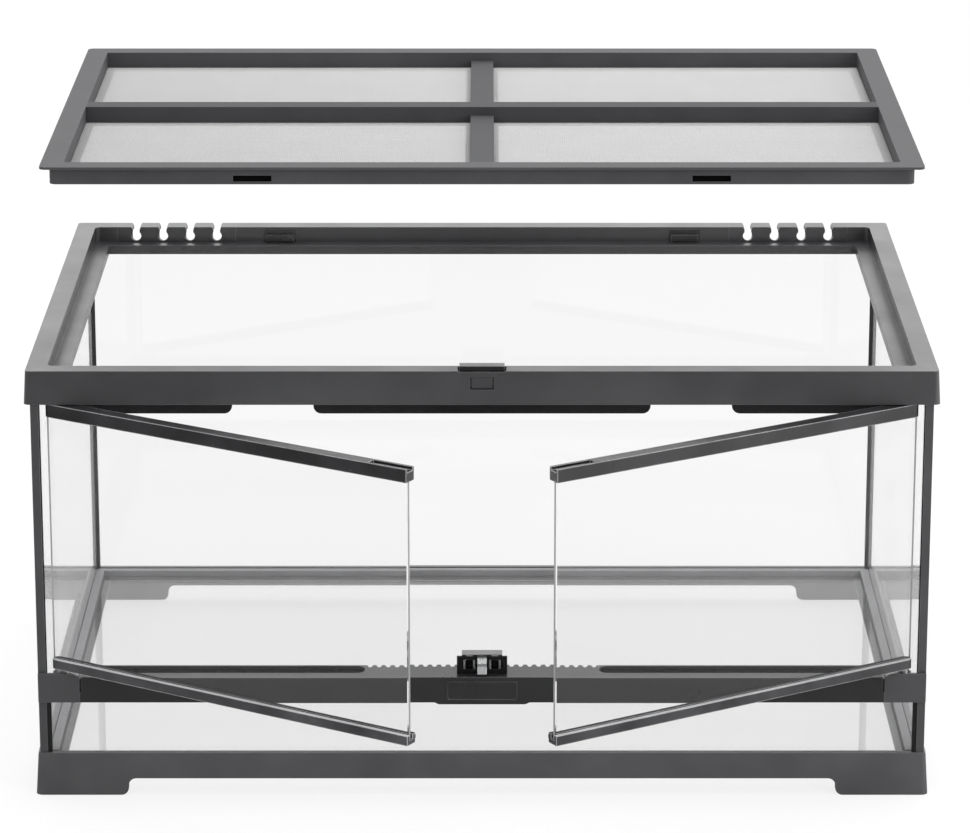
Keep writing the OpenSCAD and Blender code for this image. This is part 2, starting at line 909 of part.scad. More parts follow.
// Blade behind the bottom rail that the catch grips
module door_strike(side) {
    blade_w = 5;
    blade_l = catch_gap + pocket_d - 3;
    pad_w = 9;
    pad_t = 1.2;
    x = pivot_x - pocket_x;
    color(dark_plastic)
        door_place(side) {
            span([x - pad_w / 2, door_t / 2, door_z + 0.3],
                 [x + pad_w / 2, door_t / 2 + pad_t, door_z + 6]);
            span([x - blade_w / 2, door_t / 2, door_z + 1],
                 [x + blade_w / 2, door_t / 2 + blade_l, door_z + 4.5]);
        }
}

// ---------- door catch ----------

catch_y = door_back_y + catch_gap;
catch_top_z = mid_plate_z + catch_h;
groove_h = 2.5;
pocket_z0 = mid_plate_z + 4.6;
pocket_z1 = catch_top_z - 3.2;
pocket_d = catch_d - 4;
tongue_axis_y = catch_y + catch_face_t + 2.5;
tongue_z = catch_top_z - tongue_t;
tongue_axis_z = tongue_z + tongue_t / 2;
tongue_pin_r = 1;
tongue_play = 0.6;

module catch_body() {
    color(dark_plastic)
        difference() {
            union() {
                // Face plate
                span([-catch_w / 2, catch_y, mid_plate_z], [catch_w / 2, catch_y + catch_face_t, catch_top_z]);
                // Box behind it, under the cover plate
                span([-cover_w / 2, catch_y, mid_plate_z], [cover_w / 2, catch_y + catch_d, catch_top_z]);
            }
            for (side = [-1, 1])
                on_side(side)
                    span([pocket_x - pocket_w / 2, catch_y - cut, pocket_z0],
                         [pocket_x + pocket_w / 2, catch_y + pocket_d, pocket_z1]);
            // Groove of the tongue, with the bore of its cross pin
            span([-tongue_w / 2 - tongue_play, catch_y - cut, catch_top_z - groove_h],
                 [tongue_w / 2 + tongue_play, tongue_axis_y + groove_h, catch_top_z + cut]);
            translate([0, tongue_axis_y, tongue_axis_z])
                rotate([0, 90, 0])
                    cylinder(h = tongue_w + 6, r = tongue_pin_r + pin_fit, center = true, $fn = 32);
        }
}

// Plate over the catch, on a low foot near each end
module catch_cover() {
    foot_w = 7;
    foot_d = 2.5;
    foot_x = 9.5;
    plate_t = 1;
    color(grey_plastic)
        translate([0, catch_y, catch_top_z]) {
            span([-cover_w / 2, 0, cover_gap], [cover_w / 2, cover_d, cover_gap + plate_t]);
            for (side = [-1, 1])
                on_side(side)
                    span([foot_x, 1, 0], [foot_x + foot_w, 1 + foot_d, cover_gap + plate_t / 2]);
        }
}

// Two spring leaves in each pocket, rolled in at the front and joined at the back
module catch_clips() {
    half = pocket_w / 2 - 0.8;
    roll_r = 1.4;
    z0 = pocket_z0;
    z1 = pocket_z1 - 0.6;
    color(steel)
        for (side = [-1, 1])
            on_side(side)
                translate([pocket_x, catch_y, 0]) {
                    for (leaf = [-1, 1]) {
                        span([leaf > 0 ? half - clip_t : -half, roll_r, z0],
                             [leaf > 0 ? half : -half + clip_t, pocket_d, z1]);
                        translate([leaf * (half - roll_r), 0.4 + roll_r, z0])
                            cylinder(h = z1 - z0, r = roll_r, $fn = 32);
                    }
                    span([-half, pocket_d - clip_t, z1 - 2.5], [half, pocket_d, z1]);
                }
}

// Bent steel strip between the doors, pressed down to release them
module catch_tongue() {
    tip_y = front_y + 2.5;
    bend = 3.5;
    under = [
        [tongue_axis_y + 1.5, 0],
        [tip_y + 2 * bend, 0],
        [tip_y + bend, -bend],
        [tip_y + bend, -tab_h + 2 * bend],
        [tip_y, -tab_h],
    ];
    over = [for (i = [len(under) - 1 : -1 : 0]) under[i] + [-tongue_t, tongue_t]];
    color(steel) {
        translate([-tongue_w / 2, 0, tongue_z])
            rotate([90, 0, 90])
                linear_extrude(tongue_w)
                    polygon(concat(under, over));
        translate([0, tongue_axis_y, tongue_axis_z])
            rotate([0, 90, 0])
                cylinder(h = tongue_w + 5, r = tongue_pin_r, center = true, $fn = 32);
    }
}

// ---------- lid latch ----------

module lid_latch() {
    head_y = front_y + wall_t + 1;
    head_z = latch_axis_z + 3.2;
    arm_w = button_w - 5;
    color(black_plastic) {
        // Press button, flush with the front wall
        span([-button_w / 2, front_y - 0.6, button_top_z - button_h], [button_w / 2, front_y + wall_t, button_top_z]);
        // Arm behind the front wall
        span([-arm_w / 2, front_y + wall_t - 1, button_top_z - 4], [arm_w / 2, head_y + 3.5, button_top_z]);
        span([-arm_w / 2, front_y + wall_t + 0.8, button_top_z - 1], [arm_w / 2, head_y + 3.5, head_z + 1]);
        // Head that stands above the rim
        span([-latch_w / 2, head_y, head_z],
             [latch_w / 2, front_y + rim_rail_w - wall_t - 0.9, cabinet_h + latch_rise]);
        // Trunnions
        translate([0, latch_axis_y, latch_axis_z])
            rotate([0, 90, 0])
                cylinder(h = 2 * (lug_x + lug_t), r = trunnion_r, center = true, $fn = 32);
    }
}

// ---------- lid ----------

lid_z = cabinet_h + seat_gap + lid_lift;
lid_x = well_x + flange_lap;
lid_y = well_y + flange_lap;
skirt_x = well_x - skirt_play;
skirt_y = well_y - skirt_play;
lid_in_x = lid_x - flange_w;
lid_in_y = lid_y - flange_w;
screen_ledge_t = 1.5;
screen_z = -skirt_h + screen_ledge_t;

module lid_place() {
    translate([0, 0, lid_z])
        children();
}

module lid_frame() {
    color(black_plastic)
        lid_place()
            difference() {
                union() {
                    rounded_plate(2 * lid_x, 2 * lid_y, flange_t, 6);
                    translate([0, 0, -skirt_h])
                        rounded_plate(2 * skirt_x, 2 * skirt_y, skirt_h + flange_t / 2, 7);
                }
                // Well above the screens
                centred_box(2 * lid_in_x, 2 * lid_in_y, screen_z, flange_t + cut);
                // Window inside the screen ledge
                centred_box(2 * (lid_in_x - screen_ledge_w), 2 * (lid_in_y - screen_ledge_w),
                            -skirt_h - cut, flange_t + cut);
                // Hollow between the skirt and the inner wall
                difference() {
                    centred_box(2 * (skirt_x - lid_wall_t), 2 * (skirt_y - lid_wall_t), -skirt_h - cut, 0);
                    centred_box(2 * (lid_in_x + lid_wall_t), 2 * (lid_in_y + lid_wall_t), -skirt_h - 2 * cut, cut);
                }
                // Hook slots in the front and rear skirt
                for (x = [-hook_x, hook_x], y = [-1, 1])
                    translate([x, y * (skirt_y - lid_wall_t / 2), -skirt_h / 2 - 2.5])
                        cube([slot_w, 2 * lid_wall_t, slot_h], center = true);
            }
}

// Inverted channel with a foot on each side for the screens
module lid_cross_bar() {
    half = bar_w / 2;
    color(black_plastic)
        lid_place() {
            difference() {
                span([-lid_in_x, -half, screen_z], [lid_in_x, half, flange_t]);
                span([-lid_in_x - cut, -half + lid_wall_t, screen_z - cut],
                     [lid_in_x + cut, half - lid_wall_t, flange_t - lid_wall_t]);
            }
            span([-lid_in_x + screen_ledge_w, -half - bar_foot_w, -skirt_h],
                 [lid_in_x - screen_ledge_w, half + bar_foot_w, screen_z]);
        }
}

module lid_centre_bars() {
    half = bar_w / 2;
    color(black_plastic)
        lid_place()
            for (side = [-1, 1])
                scale([1, side, 1]) {
                    span([-half, half, screen_z], [half, lid_in_y, flange_t - bar_drop]);
                    span([-half - bar_foot_w, half + bar_foot_w, -skirt_h],
                         [half + bar_foot_w, lid_in_y - screen_ledge_w, screen_z]);
                }
}

// A screen lies on the ledges of the frame and the feet of the bars,
// and is open in a plain grid between them
module lid_screen(side, row) {
    gap = 0.2;
    near = bar_w / 2 + bar_foot_w;
    far_x = lid_in_x - screen_ledge_w;
    far_y = lid_in_y - screen_ledge_w;
    pitch_x = (far_x - near + screen_strip_w) / screen_columns;
    pitch_y = (far_y - near + screen_strip_w) / screen_rows;
    color("#b8bcc0")
        lid_place()
            on_side(side)
                scale([1, row, 1])
                    translate([0, 0, screen_z])
                        linear_extrude(screen_t)
                            difference() {
                                translate([bar_w / 2 + gap, bar_w / 2 + gap])
                                    square([lid_in_x - bar_w / 2 - 2 * gap, lid_in_y - bar_w / 2 - 2 * gap]);
                                for (i = [0 : screen_columns - 1], j = [0 : screen_rows - 1])
                                    translate([near + i * pitch_x, near + j * pitch_y])
                                        square([pitch_x - screen_strip_w, pitch_y - screen_strip_w]);
                            }
}

// ---------- nodes ----------

base_frame();
floor_glass();
back_glass();
side_glass(-1);  // left_glass
side_glass(1);  // right_glass
window_glass();
post(-1);  // left_post
post(1);  // right_post
rear_seal(-1);  // left_rear_seal
rear_seal(1);  // right_rear_seal
window_seals();
top_frame();
cable_port(-1);  // left_cable_port
cable_port(1);  // right_cable_port
lid_hook(-1);  // left_lid_hook
lid_hook(1);  // right_lid_hook
door_stops();
mid_rail();
vent_screen(-1);  // left_vent_screen
vent_screen(1);  // right_vent_screen
hinge_block(-1);  // left_hinge_block
hinge_block(1);  // right_hinge_block
badge_plate();
lower_hinge_pins();
upper_hinge_pins();
catch_body();
catch_cover();
catch_clips();
catch_tongue();
door_glass(-1);  // left_door_glass
door_top_rail(-1);  // left_door_top_rail
door_bottom_rail(-1);  // left_door_bottom_rail
door_strike(-1);  // left_door_strike
door_glass(1);  // right_door_glass
door_top_rail(1);  // right_door_top_rail
door_bottom_rail(1);  // right_door_bottom_rail
door_strike(1);  // right_door_strike
lid_latch();
lid_frame();
lid_cross_bar();
lid_centre_bars();
lid_screen(-1, -1);  // lid_screen_front_left
lid_screen(1, -1);  // lid_screen_front_right
lid_screen(-1, 1);  // lid_screen_rear_left
lid_screen(1, 1);  // lid_screen_rear_right
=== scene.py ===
"""Studio picture of a front-opening glass terrarium with its screen lid held above it."""

import json
import math

import bmesh
import bpy
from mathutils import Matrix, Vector
from mathutils.bvhtree import BVHTree


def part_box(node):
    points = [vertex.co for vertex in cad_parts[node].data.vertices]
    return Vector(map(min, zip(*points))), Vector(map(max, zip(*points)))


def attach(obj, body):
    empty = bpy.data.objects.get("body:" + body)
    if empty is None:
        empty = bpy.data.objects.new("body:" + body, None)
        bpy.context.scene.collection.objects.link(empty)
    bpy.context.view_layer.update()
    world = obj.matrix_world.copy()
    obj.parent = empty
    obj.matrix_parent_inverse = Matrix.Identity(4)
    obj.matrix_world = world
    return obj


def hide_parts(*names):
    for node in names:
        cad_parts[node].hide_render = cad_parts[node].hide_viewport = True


MM = 0.001

bpy.context.scene.view_settings.view_transform = "Standard"

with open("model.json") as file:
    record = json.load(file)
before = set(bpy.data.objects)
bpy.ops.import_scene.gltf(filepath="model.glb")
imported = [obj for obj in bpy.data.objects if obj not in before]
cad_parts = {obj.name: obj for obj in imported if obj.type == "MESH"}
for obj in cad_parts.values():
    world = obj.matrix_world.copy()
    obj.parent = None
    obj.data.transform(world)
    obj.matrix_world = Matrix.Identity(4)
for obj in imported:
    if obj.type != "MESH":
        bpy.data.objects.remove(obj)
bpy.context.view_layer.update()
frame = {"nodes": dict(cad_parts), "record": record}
cad_nodes = frame["nodes"]


# ---------- camera ----------


def place_camera(place, tilt, lens_mm):
    """A camera that looks along Y, tilted by some degrees from straight down."""
    data = bpy.data.cameras.new("studio_camera")
    data.sensor_width = 36
    data.lens = lens_mm
    data.clip_end = 60
    camera = bpy.data.objects.new("studio_camera", data)
    camera.location = place
    camera.rotation_euler = (math.radians(tilt), 0, 0)
    bpy.context.scene.collection.objects.link(camera)
    bpy.context.scene.camera = camera


# Long lens, higher than the lid, looking down at the doors
place_camera(place=(0.003, -4.510, 1.643), tilt=73.55, lens_mm=163.9)


# ---------- materials ----------

# Nearly all values of a noise pattern lie in this span
NOISE_SPAN = {"From Min": 0.3, "From Max": 0.7}

# Rays that find out how near a point is to an arris
ARRIS_RAYS = 6


def linear(hex_colour):
    """The linear colour that a shader takes, from an sRGB hex value, by the sRGB curve."""
    digits = hex_colour.lstrip("#")
    parts = [int(digits[i : i + 2], 16) / 255 for i in (0, 2, 4)]
    return [p / 12.92 if p <= 0.04045 else ((p + 0.055) / 1.055) ** 2.4 for p in parts] + [1.0]


def add_node(tree, kind, settings=None, links=None, **choices):
    """Adds a node with its choices, the values on its inputs, and links from other nodes."""
    node = tree.nodes.new(kind)
    for name, value in choices.items():
        setattr(node, name, value)
    for name, value in (settings or {}).items():
        node.inputs[name].default_value = value
    for name, socket in (links or {}).items():
        tree.links.new(socket, node.inputs[name])
    return node


def new_material(name):
    """A material that has no nodes yet, and its tree."""
    material = bpy.data.materials.new(name)
    material.use_nodes = True
    material.node_tree.nodes.clear()
    return material, material.node_tree


def moulded_plastic(
    name, colour, arris_painted_light, roughness, grain, shine=0.5, edge=0.9 * MM, cloudy=0.12
):
    """Injection-moulded ABS from a spark-eroded mould: satin, with a fine even grain, faint
    cloudy sheen, softly rounded edges, and arrises painted in a tone of their own.

    arris_painted_light is the colour of the arrises: a painted highlight where it is paler
    than the face, painted shade where it is darker. Edge is the radius that they look rounded
    to. Grain is the strength of the mould grain, and shine that of the reflection, 0.5 on clean
    ABS.
    Cloudy is the share by which the tone differs from one flow mark to another."""
    material, tree = new_material(name)
    place = add_node(tree, "ShaderNodeTexCoord")
    surface = add_node(tree, "ShaderNodeNewGeometry")
    rounded = add_node(tree, "ShaderNodeBevel", {"Radius": edge}, samples=ARRIS_RAYS)
    # 1 on a flat face, less where the rounding turns away from it
    turn = add_node(
        tree,
        "ShaderNodeVectorMath",
        links={0: rounded.outputs["Normal"], 1: surface.outputs["Normal"]},
        operation="DOT_PRODUCT",
    )
    # The painted arris tone is strongest where it has turned by 44 degrees, in the middle of a
    # square arris
    arris = add_node(
        tree,
        "ShaderNodeMapRange",
        {"From Min": 1.0, "From Max": 0.72, "To Min": 0.0, "To Max": 0.8},
        {"Value": turn.outputs["Value"]},
    )
    base = add_node(
        tree,
        "ShaderNodeMix",
        {"A": linear(colour), "B": linear(arris_painted_light)},
        {"Factor": arris.outputs["Result"]},
        data_type="RGBA",
    )
    # Flow marks of the melt, which differ a little in tone and in gloss
    flow_mark = 60 * MM
    cloud = add_node(
        tree,
        "ShaderNodeTexNoise",
        {"Scale": 1 / flow_mark, "Detail": 3.0, "Roughness": 0.55},
        {"Vector": place.outputs["Object"]},
    )
    shade = add_node(
        tree,
        "ShaderNodeMapRange",
        {**NOISE_SPAN, "To Min": 1 - cloudy, "To Max": 1 + cloudy},
        {"Value": cloud.outputs["Fac"]},
    )
    tinted = add_node(
        tree,
        "ShaderNodeHueSaturation",
        links={"Value": shade.outputs["Result"], "Color": base.outputs["Result"]},
    )
    sheen = add_node(
        tree,
        "ShaderNodeMapRange",
        {**NOISE_SPAN, "To Min": roughness - 0.04, "To Max": roughness + 0.05},
        {"Value": cloud.outputs["Fac"]},
    )
    # Mould grain, drawn at 1.4 mm where the real one is near 0.2 mm, so that it shows
    drawn_grain = 1.4 * MM
    grit = add_node(
        tree,
        "ShaderNodeTexNoise",
        {"Scale": 1 / drawn_grain, "Detail": 2.0, "Roughness": 0.6},
        {"Vector": place.outputs["Object"]},
    )
    relief = add_node(
        tree,
        "ShaderNodeBump",
        {"Strength": grain, "Distance": 0.12 * MM},
        {"Height": grit.outputs["Fac"], "Normal": rounded.outputs["Normal"]},
    )
    shader = add_node(
        tree,
        "ShaderNodeBsdfPrincipled",
        {"IOR": 1.54, "Specular IOR Level": shine},
        {
            "Base Color": tinted.outputs["Color"],
            "Roughness": sheen.outputs["Result"],
            "Normal": relief.outputs["Normal"],
        },
    )
    add_node(tree, "ShaderNodeOutputMaterial", links={"Surface": shader.outputs["BSDF"]})
    return material


def rail_profile(name, colour):
    """Extruded ABS, smooth and glossy from the die, with painted highlights along all its
    arrises.
    """
    # Near white: a painted highlight along every arris
    arris_highlight = "#f0f0f2"
    return moulded_plastic(name, colour, arris_highlight, 0.24, 0.15, edge=1.5 * MM, cloudy=0.4)


def float_glass(name, tint):
    """Float glass, wiped clean: clear, and faintly grey through its thickness. Lamps shine
    straight through it, as they do through a real thin pane."""
    material, tree = new_material(name)
    place = add_node(tree, "ShaderNodeTexCoord")
    # Wiping marks a hand wide, which only show as a change of gloss
    hand = 90 * MM
    wipe = add_node(
        tree,
        "ShaderNodeTexNoise",
        {"Scale": 1 / hand, "Detail": 4.0, "Distortion": 0.8},
        {"Vector": place.outputs["Object"]},
    )
    haze = add_node(
        tree,
        "ShaderNodeMapRange",
        {"From Min": 0.35, "From Max": 0.75, "To Min": 0.0, "To Max": 0.03},
        {"Value": wipe.outputs["Fac"]},
    )
    glass = add_node(
        tree,
        "ShaderNodeBsdfPrincipled",
        {
            "Base Color": linear(tint),
            "IOR": 1.52,
            "Transmission Weight": 1.0,
            # A weaker reflection than that of plain glass
            "Specular Tint": linear("#bcbcbc"),
        },
        {"Roughness": haze.outputs["Result"]},
    )
    clear = add_node(tree, "ShaderNodeBsdfTransparent", {"Color": linear(tint)})
    path = add_node(tree, "ShaderNodeLightPath")
    lamp_ray = add_node(
        tree,
        "ShaderNodeMath",
        links={0: path.outputs["Is Shadow Ray"], 1: path.outputs["Is Diffuse Ray"]},
        operation="MAXIMUM",
    )
    both = add_node(
        tree,
        "ShaderNodeMixShader",
        links={
            0: lamp_ray.outputs["Value"],
            1: glass.outputs["BSDF"],
            2: clear.outputs["BSDF"],
        },
    )
    add_node(tree, "ShaderNodeOutputMaterial", links={"Surface": both.outputs["Shader"]})
    return material


def ground_edge(name, colour):
    """Ground and polished edge of a glass pane: the light that the pane gathers comes out
    here, so it looks milky, with the fine lines of the grinding belt."""
    material, tree = new_material(name)
    place = add_node(tree, "ShaderNodeTexCoord")
    # Belt lines, drawn at 0.8 mm where the real ones are under 0.1 mm, so that they show
    drawn_line = 0.8 * MM
    lines = add_node(
        tree,
        "ShaderNodeTexNoise",
        {"Scale": 1 / drawn_line, "Detail": 2.0},
        {"Vector": place.outputs["Object"]},
    )
    shade = add_node(
        tree,
        "ShaderNodeMapRange",
        {**NOISE_SPAN, "To Min": 0.94, "To Max": 1.04},
        {"Value": lines.outputs["Fac"]},
    )
    tinted = add_node(
        tree,
        "ShaderNodeHueSaturation",
        {"Color": linear(colour)},
        {"Value": shade.outputs["Result"]},
    )
    relief = add_node(
        tree,
        "ShaderNodeBump",
        {"Strength": 0.3, "Distance": 0.05 * MM},
        {"Height": lines.outputs["Fac"]},
    )
    shader = add_node(
        tree,
        "ShaderNodeBsdfPrincipled",
        {"IOR": 1.52, "Roughness": 0.3},
        {"Base Color": tinted.outputs["Color"], "Normal": relief.outputs["Normal"]},
    )
    add_node(tree, "ShaderNodeOutputMaterial", links={"Surface": shader.outputs["BSDF"]})
    return material


def silicone_bead(name, colour):
    """Cured silicone sealant smoothed with a wet finger: glossy and slightly wavy."""
    material, tree = new_material(name)
    place = add_node(tree, "ShaderNodeTexCoord")
    # Waves as wide as a fingertip
    fingertip = 14 * MM
    ripple = add_node(
        tree,
        "ShaderNodeTexNoise",
        {"Scale": 1 / fingertip, "Detail": 2.0},
        {"Vector": place.outputs["Object"]},
    )
    relief = add_node(
        tree,
        "ShaderNodeBump",
        {"Strength": 0.4, "Distance": 0.5 * MM},
        {"Height": ripple.outputs["Fac"]},
    )
    shader = add_node(
        tree,
        "ShaderNodeBsdfPrincipled",
        {"Base Color": linear(colour), "IOR": 1.41, "Roughness": 0.28},
        {"Normal": relief.outputs["Normal"]},
    )
    add_node(tree, "ShaderNodeOutputMaterial", links={"Surface": shader.outputs["BSDF"]})
    return material


def nickel_steel(name, colour, roughness):
    """Nickel-plated spring steel, drawn lengthwise: bright, with fine scratches along Y that
    spread its reflections sideways."""
    material, tree = new_material(name)
    place = add_node(tree, "ShaderNodeTexCoord")
    # Twenty times as long as they are wide, along Y
    stretch = add_node(
        tree,
        "ShaderNodeMapping",
        {"Scale": (1.0, 0.05, 1.0)},
        {"Vector": place.outputs["Object"]},
    )
    # Scratches, drawn at 0.4 mm where the real ones are under 0.05 mm, so that they show
    drawn_scratch = 0.4 * MM
    scratches = add_node(
        tree,
        "ShaderNodeTexNoise",
        {"Scale": 1 / drawn_scratch, "Detail": 2.0},
        {"Vector": stretch.outputs["Vector"]},
    )
    rounded = add_node(tree, "ShaderNodeBevel", {"Radius": 0.4 * MM}, samples=ARRIS_RAYS)
    relief = add_node(
        tree,
        "ShaderNodeBump",
        {"Strength": 0.25, "Distance": 0.03 * MM},
        {"Height": scratches.outputs["Fac"], "Normal": rounded.outputs["Normal"]},
    )
    gloss = add_node(
        tree,
        "ShaderNodeMapRange",
        {**NOISE_SPAN, "To Min": roughness, "To Max": roughness + 0.12},
        {"Value": scratches.outputs["Fac"]},
    )
    shader = add_node(
        tree,
        "ShaderNodeBsdfPrincipled",
        {"Base Color": linear(colour), "Metallic": 1.0},
        {"Roughness": gloss.outputs["Result"], "Normal": relief.outputs["Normal"]},
    )
    add_node(tree, "ShaderNodeOutputMaterial", links={"Surface": shader.outputs["BSDF"]})
    return material


def coated_wire(name, colour):
    """Fine steel wire, dipped in pale epoxy: a soft sheen that is slightly uneven."""
    material, tree = new_material(name)
    place = add_node(tree, "ShaderNodeTexCoord")
    # Thicker and thinner places of the coat
    patch = 45 * MM
    coat = add_node(
        tree,
        "ShaderNodeTexNoise",
        {"Scale": 1 / patch, "Detail": 3.0},
        {"Vector": place.outputs["Object"]},
    )
    shade = add_node(
        tree,
        "ShaderNodeMapRange",
        {**NOISE_SPAN, "To Min": 0.98, "To Max": 1.02},
        {"Value": coat.outputs["Fac"]},
    )
    tinted = add_node(
        tree,
        "ShaderNodeHueSaturation",
        {"Color": linear(colour)},
        {"Value": shade.outputs["Result"]},
    )
    shader = add_node(
        tree,
        "ShaderNodeBsdfPrincipled",
        {"Metallic": 0.3, "Roughness": 0.45},
        {"Base Color": tinted.outputs["Color"]},
    )
    add_node(tree, "ShaderNodeOutputMaterial", links={"Surface": shader.outputs["BSDF"]})
    return material


# What each material slot of the object is made of
FINISHES = {
    # Rim: dark grey where the light falls on it, with a thin painted highlight along its arrises
    "black_plastic": moulded_plastic("black_moulded_abs", "#38383a", "#747476", 0.34, 0.5),
    # Stops, strikes and the catch's body: nearly black, with a weak reflection
    "dark_plastic": moulded_plastic(
        "dark_moulded_abs", "#0e0e0f", "#2c2c2d", 0.5, 0.5, shine=0.25
    ),
    # Cover plate of the catch: a soft middle grey
    "grey_plastic": moulded_plastic("grey_moulded_abs", "#7c7c7d", "#a8a8a8", 0.45, 0.4),
    # Back and side panes: white seen through them is slightly dimmed
    "clear_glass": float_glass("clear_float_glass", "#f3f3f3"),
    # Seals: dark lines in the corners, with narrow highlights
    "black_silicone": silicone_bead("black_silicone_bead", "#1b1b1c"),
    # Hinge pins, spring clips and tongue: small bright streaks
    "bright_steel": nickel_steel("bright_nickel_steel", "#d6d7d8", 0.22),
    # Screens of the lid: an even pale veil
    "steel_screen": coated_wire("coated_screen_wire", "#b3b3b3"),
}

# Milky grey line round the doors and the floor pane
GLASS_EDGE = ground_edge("ground_glass_edge", "#919291")

# Floor pane, tinted slightly darker than the upright ones: painted shade of the floor under the
# object
FLOOR_PANE_SHADE = float_glass("floor_pane_glass_painted_shade", "#f1f1f1")

# Doors and front window: low-iron glass, which hardly dims what is behind it
FRONT_PANE = float_glass("front_pane_low_iron_glass", "#fdfdfd")

# Lid: matt, so that it stays one even grey from the front to the back
LID_PLASTIC = moulded_plastic("matt_lid_abs", "#424244", "#6c6c6e", 0.64, 0.6, shine=0.24)
BAR_PLASTIC = moulded_plastic("matt_lid_bar_abs", "#3c3c3e", "#646466", 0.7, 0.6, shine=0.19)

# Inside of the lid's hollow frame, rough from the mould and dull, painted black as the shade in
# the hollow
LID_HOLLOW_SHADE = moulded_plastic("lid_hollow_painted_shade_abs", "#0b0b0c", "#111112", 0.9, 0.8, shine=0.05)

# Base: satin, a shade paler than the rim, painted light as from the floor below
BASE_PLASTIC = moulded_plastic("satin_base_abs_painted_light", "#4a4a4c", "#7e7e80", 0.36, 0.5)

# Faces of the base round the floor pane: a pale matt line, a painted reflection on the black
# plastic
BASE_WELL_REFLECTION = moulded_plastic("base_well_painted_reflection_abs", "#8a8a8c", "#a6a6a8", 0.5, 0.3)

# Posts and hinge blocks: satin, between rim and base
POST_PLASTIC = moulded_plastic("satin_post_abs", "#414143", "#7a7a7c", 0.34, 0.5)

# Mid rail and badge plate: painted darker, as shade under the rim, and smoother, with clear
# highlights
MID_PLASTIC = moulded_plastic("mid_rail_abs_painted_shade", "#212123", "#606062", 0.3, 0.2, shine=0.7)

# Lid hooks and head of the latch: nearly black, with painted highlights along their arrises
HOOK_PLASTIC = moulded_plastic("dark_hook_abs", "#131314", "#828284", 0.3, 0.2, edge=1.1 * MM)
LATCH_HEAD = moulded_plastic("latch_head_painted_highlight_abs", "#1b1b1c", "#9c9c9e", 0.22, 0.2, edge=1.2 * MM)

# Press button of the latch: like the rim, with painted shade along its arrises as a dark outline
BUTTON = moulded_plastic("dark_edged_button_abs", "#38383a", "#0b0b0c", 0.34, 0.5, edge=1.4 * MM)

# Rails of the doors: dark grey, with painted highlights in streaks along their arrises
TOP_RAIL = rail_profile("extruded_top_rail_abs", "#262628")
BOTTOM_RAIL = rail_profile("extruded_bottom_rail_abs", "#3e3e40")

# Lip in front of a door's pane, a bright line of painted highlight, and the dull groove behind
# it, darkened as painted shade
RAIL_LIP_HIGHLIGHT = moulded_plastic("rail_lip_painted_highlight_abs", "#a2a2a4", "#e0e0e2", 0.24, 0.1)
RAIL_GROOVE_SHADE = moulded_plastic("rail_groove_painted_shade_abs", "#161617", "#2a2a2b", 0.6, 0.3, shine=0.15)

# Screens of the vents: black mesh, made darker still as painted shade inside the vent slots
VENT_SCREEN = moulded_plastic("matt_screen_abs", "#070708", "#101011", 0.9, 0.8, shine=0.05)

# Pieces whose surface differs from others of their slot, by the end of their name
OWN_FINISHES = {
    "door_top_rail": TOP_RAIL,
    "door_bottom_rail": BOTTOM_RAIL,
    "vent_screen": VENT_SCREEN,
    "floor_glass": FLOOR_PANE_SHADE,
    "door_glass": FRONT_PANE,
    "window_glass": FRONT_PANE,
    "base_frame": BASE_PLASTIC,
    "lid_frame": LID_PLASTIC,
    "lid_cross_bar": BAR_PLASTIC,
    "lid_centre_bars": BAR_PLASTIC,
    "lid_hook": HOOK_PLASTIC,
    "lid_latch": BUTTON,
    "_post": POST_PLASTIC,
    "hinge_block": POST_PLASTIC,
    "mid_rail": MID_PLASTIC,
    "badge_plate": MID_PLASTIC,
}


# ---------- faces with a finish of their own ----------

# Two directions count as square to each other if their dot product is below this
SQUARE_LIMIT = 0.1

# A face counts as looking along an axis if its direction has more than this share of it
LOOKS_ALONG = 0.5

# Share of a door rail's thickness that its front lip takes up
LIP_SHARE = 0.4

# A wall that faces another one nearer than this is inside a hollow section
HOLLOW_GAP = 10 * MM


def ground_faces(mesh):
    """Faces square to a pane, which are ground. Its eased arrises stay clear."""
    pane = max(mesh.polygons, key=lambda polygon: polygon.area).normal
    return [
        polygon for polygon in mesh.polygons if abs(polygon.normal.dot(pane)) < SQUARE_LIMIT
    ]


def hollow_faces(mesh):
    """Faces that look at a near wall, as in a hollow section."""
    corners = [vertex.co for vertex in mesh.vertices]
    tree = BVHTree.FromPolygons(corners, [polygon.vertices[:] for polygon in mesh.polygons])
    # Just off the face, so that it doesn't find itself
    start = 0.1 * MM
    return [
        polygon
        for polygon in mesh.polygons
        if tree.ray_cast(polygon.center + polygon.normal * start, polygon.normal, HOLLOW_GAP)[0]
    ]


def well_faces(mesh):
    """Faces inside the panes, round the floor, that don't look down."""
    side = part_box("right_glass")[0].x
    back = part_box("back_glass")[0].y
    return [
        polygon
        for polygon in mesh.polygons
        if polygon.normal.z > -LOOKS_ALONG
        and abs(polygon.center.x) < side
        and abs(polygon.center.y) < back
    ]


def rail_tops(mesh, near, far):
    """Upward faces of a door rail, from one share of its thickness to another, counted from
    its front."""
    outward = [polygon for polygon in mesh.polygons if polygon.normal.y < -LOOKS_ALONG]
    front = max(outward, key=lambda polygon: polygon.area)
    depths = [(front.center - polygon.center).dot(front.normal) for polygon in mesh.polygons]
    thickness = max(depths)
    return [
        polygon
        for polygon, depth in zip(mesh.polygons, depths)
        if polygon.normal.z > LOOKS_ALONG and near < depth / thickness < far
    ]


def front_lip(mesh):
    """Top of the lip in front of the pane."""
    return rail_tops(mesh, 0, LIP_SHARE)


def behind_front_lip(mesh):
    """Bottom of the pane's groove and top of the lip behind it."""
    return rail_tops(mesh, LIP_SHARE, 1)


def faces_above_rim(mesh):
    """Faces that stand higher than the rim does."""
    rim_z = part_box("top_frame")[1].z
    return [polygon for polygon in mesh.polygons if polygon.center.z > rim_z]


